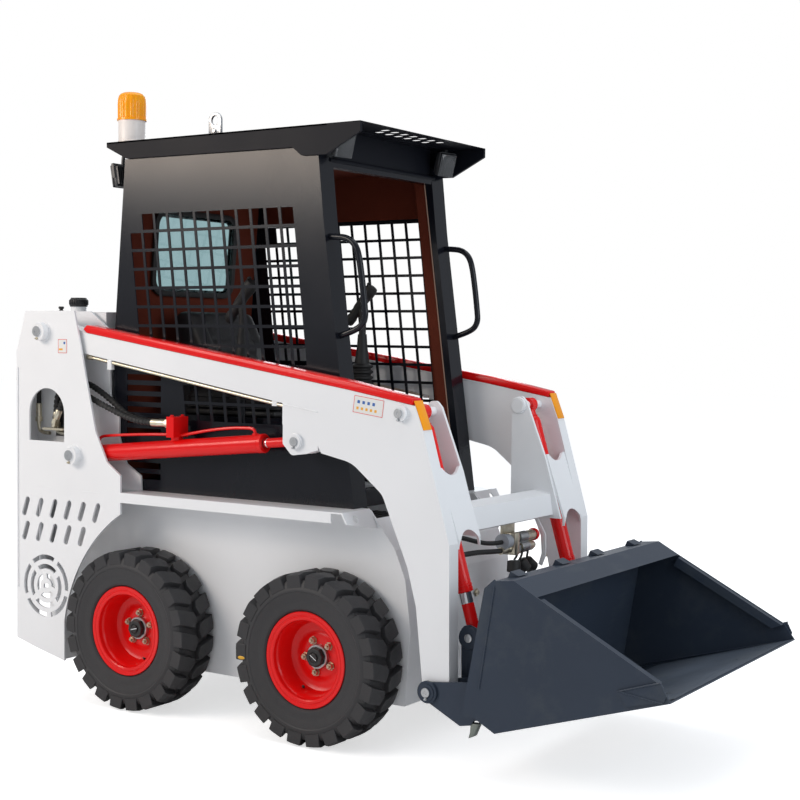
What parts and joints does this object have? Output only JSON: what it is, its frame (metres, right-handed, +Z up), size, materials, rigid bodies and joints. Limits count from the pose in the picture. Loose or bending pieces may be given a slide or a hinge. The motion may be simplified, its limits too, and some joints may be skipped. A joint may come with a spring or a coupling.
{
  "type": "skid steer loader",
  "caption": "Compact skid steer loader with a mesh-sided cab, lift arms on rear towers, a bucket on a quick coupler and lugged tyres.",
  "frame": {"origin": "on the ground, in the middle of the overall length and width", "axes": "+X forward toward the bucket, +Y to the machine's left, +Z up"},
  "size_m": [2.743, 1.102, 2.2816],
  "materials": {
    "white_paint": "gloss",
    "red_paint": "gloss",
    "cab_paint": "satin",
    "bucket_paint": "satin",
    "lining_paint": "matte",
    "black_plastic": "matte",
    "black_rubber": "matte",
    "tyre_rubber": "matte",
    "window_glass": "clear",
    "lamp_glass": "clear",
    "hard_chrome": "polished",
    "zinc_steel": "satin",
    "amber_plastic": "gloss",
    "engine_iron": "matte",
    "seat_cover": "matte"
  },
  "bodies": {
    "chassis": {"chassis_tub": "white_paint", "side_shelves": "white_paint", "tower_right": "white_paint", "tower_left": "white_paint", "rear_bumper": "white_paint", "engine_block": "engine_iron", "hydraulic_tank": "white_paint", "filler_cap": "black_plastic", "cab_side_right": "cab_paint", "cab_side_left": "cab_paint", "cab_front_frame": "cab_paint", "cab_rear_wall": "cab_paint", "rear_window_glass": "window_glass", "cab_roof": "cab_paint", "cab_lining": "lining_paint", "cab_floor": "cab_paint", "seat": "seat_cover", "control_levers": "black_rubber", "work_lamps": "black_plastic", "beacon": "amber_plastic", "grab_handles": "cab_paint", "axle_housings": "cab_paint", "tower_ports": "zinc_steel"},
    "hood": {"engine_hood": "cab_paint"},
    "door": {"rear_door": "white_paint"},
    "lift_arm": {"arm_right": "white_paint", "arm_left": "white_paint", "arm_rails": "red_paint", "cross_beam": "white_paint", "arm_pipes": "zinc_steel", "aux_couplers": "zinc_steel"},
    "bucket": {"quick_coupler": "bucket_paint", "bucket": "bucket_paint"},
    "wheel_rear_right": {"tyre_rear_right": "tyre_rubber", "rim_rear_right": "red_paint"},
    "wheel_rear_left": {"tyre_rear_left": "tyre_rubber", "rim_rear_left": "red_paint"},
    "wheel_front_right": {"tyre_front_right": "tyre_rubber", "rim_front_right": "red_paint"},
    "wheel_front_left": {"tyre_front_left": "tyre_rubber", "rim_front_left": "red_paint"},
    "lift_barrel_right": {"lift_barrel_right": "red_paint", "lift_hose_upper_right": "black_rubber", "lift_hose_lower_right": "black_rubber"},
    "lift_rod_right": {"lift_rod_right": "hard_chrome"},
    "tilt_barrel_right": {"tilt_barrel_right": "red_paint"},
    "tilt_rod_right": {"tilt_rod_right": "hard_chrome"},
    "lift_barrel_left": {"lift_barrel_left": "red_paint", "lift_hose_upper_left": "black_rubber", "lift_hose_lower_left": "black_rubber"},
    "lift_rod_left": {"lift_rod_left": "hard_chrome"},
    "tilt_barrel_left": {"tilt_barrel_left": "red_paint"},
    "tilt_rod_left": {"tilt_rod_left": "hard_chrome"}
  },
  "joints": [
    {"name": "roll_rear_right", "type": "hinge", "parent": "chassis", "child": "wheel_rear_right", "pos_m": [-0.7705, -0.4505, 0.295], "axis": [0, 1, 0], "continuous": true},
    {"name": "roll_rear_left", "type": "hinge", "parent": "chassis", "child": "wheel_rear_left", "pos_m": [-0.7705, 0.4505, 0.295], "axis": [0, 1, 0], "continuous": true},
    {"name": "roll_front_right", "type": "hinge", "parent": "chassis", "child": "wheel_front_right", "pos_m": [0.0535, -0.4505, 0.295], "axis": [0, 1, 0], "continuous": true},
    {"name": "roll_front_left", "type": "hinge", "parent": "chassis", "child": "wheel_front_left", "pos_m": [0.0535, 0.4505, 0.295], "axis": [0, 1, 0], "continuous": true},
    {"name": "lift", "type": "hinge", "parent": "chassis", "child": "lift_arm", "pos_m": [-1.2085, 0, 1.388], "axis": [0, -1, 0], "range_deg": [0, 62]},
    {"name": "tilt", "type": "hinge", "parent": "lift_arm", "child": "bucket", "pos_m": [0.5325, 0, 0.254], "axis": [0, 1, 0], "range_deg": [0, 105]},
    {"name": "lift_swing_right", "type": "hinge", "parent": "chassis", "child": "lift_barrel_right", "pos_m": [-1.0385, -0.4645, 0.927], "axis": [0, -1, 0], "range_deg": [0, 56.73], "deforming": ["lift_hose_upper_right", "lift_hose_lower_right"]},
    {"name": "lift_stroke_right", "type": "slide", "parent": "lift_barrel_right", "child": "lift_rod_right", "axis": [0.9955, 0, 0.0951], "range_m": [0, 0.4931]},
    {"name": "tilt_swing_right", "type": "hinge", "parent": "lift_arm", "child": "tilt_barrel_right", "pos_m": [0.4095, -0.3685, 1.136], "axis": [0, 1, 0], "range_deg": [0, 2.28]},
    {"name": "tilt_stroke_right", "type": "slide", "parent": "tilt_barrel_right", "child": "tilt_rod_right", "axis": [0.2867, 0, -0.958], "range_m": [0, 0.3003]},
    {"name": "lift_swing_left", "type": "hinge", "parent": "chassis", "child": "lift_barrel_left", "pos_m": [-1.0385, 0.4645, 0.927], "axis": [0, -1, 0], "range_deg": [0, 56.73], "deforming": ["lift_hose_upper_left", "lift_hose_lower_left"]},
    {"name": "lift_stroke_left", "type": "slide", "parent": "lift_barrel_left", "child": "lift_rod_left", "axis": [0.9955, 0, 0.0951], "range_m": [0, 0.4931]},
    {"name": "tilt_swing_left", "type": "hinge", "parent": "lift_arm", "child": "tilt_barrel_left", "pos_m": [0.4095, 0.3685, 1.136], "axis": [0, 1, 0], "range_deg": [0, 2.28]},
    {"name": "tilt_stroke_left", "type": "slide", "parent": "tilt_barrel_left", "child": "tilt_rod_left", "axis": [0.2867, 0, -0.958], "range_m": [0, 0.3003]},
    {"name": "rear_door_hinge", "type": "hinge", "parent": "chassis", "child": "door", "pos_m": [-1.3635, 0.401, 0.865], "axis": [0, 0, -1], "range_deg": [0, 110]},
    {"name": "hood_hinge", "type": "hinge", "parent": "chassis", "child": "hood", "pos_m": [-1.0205, 0, 1.44], "axis": [0, 1, 0], "range_deg": [0, 60]}
  ],
  "couplings": [
    {"joint": "lift_swing_right", "follows": "lift", "ratio": 0.91414},
    {"joint": "lift_stroke_right", "follows": "lift", "m_per_rad": 0.45519},
    {"joint": "tilt_swing_right", "follows": "tilt", "ratio": 0.02123},
    {"joint": "tilt_stroke_right", "follows": "tilt", "m_per_rad": 0.16359},
    {"joint": "lift_swing_left", "follows": "lift", "ratio": 0.91414},
    {"joint": "lift_stroke_left", "follows": "lift", "m_per_rad": 0.45519},
    {"joint": "tilt_swing_left", "follows": "tilt", "ratio": 0.02123},
    {"joint": "tilt_stroke_left", "follows": "tilt", "m_per_rad": 0.16359}
  ]
}
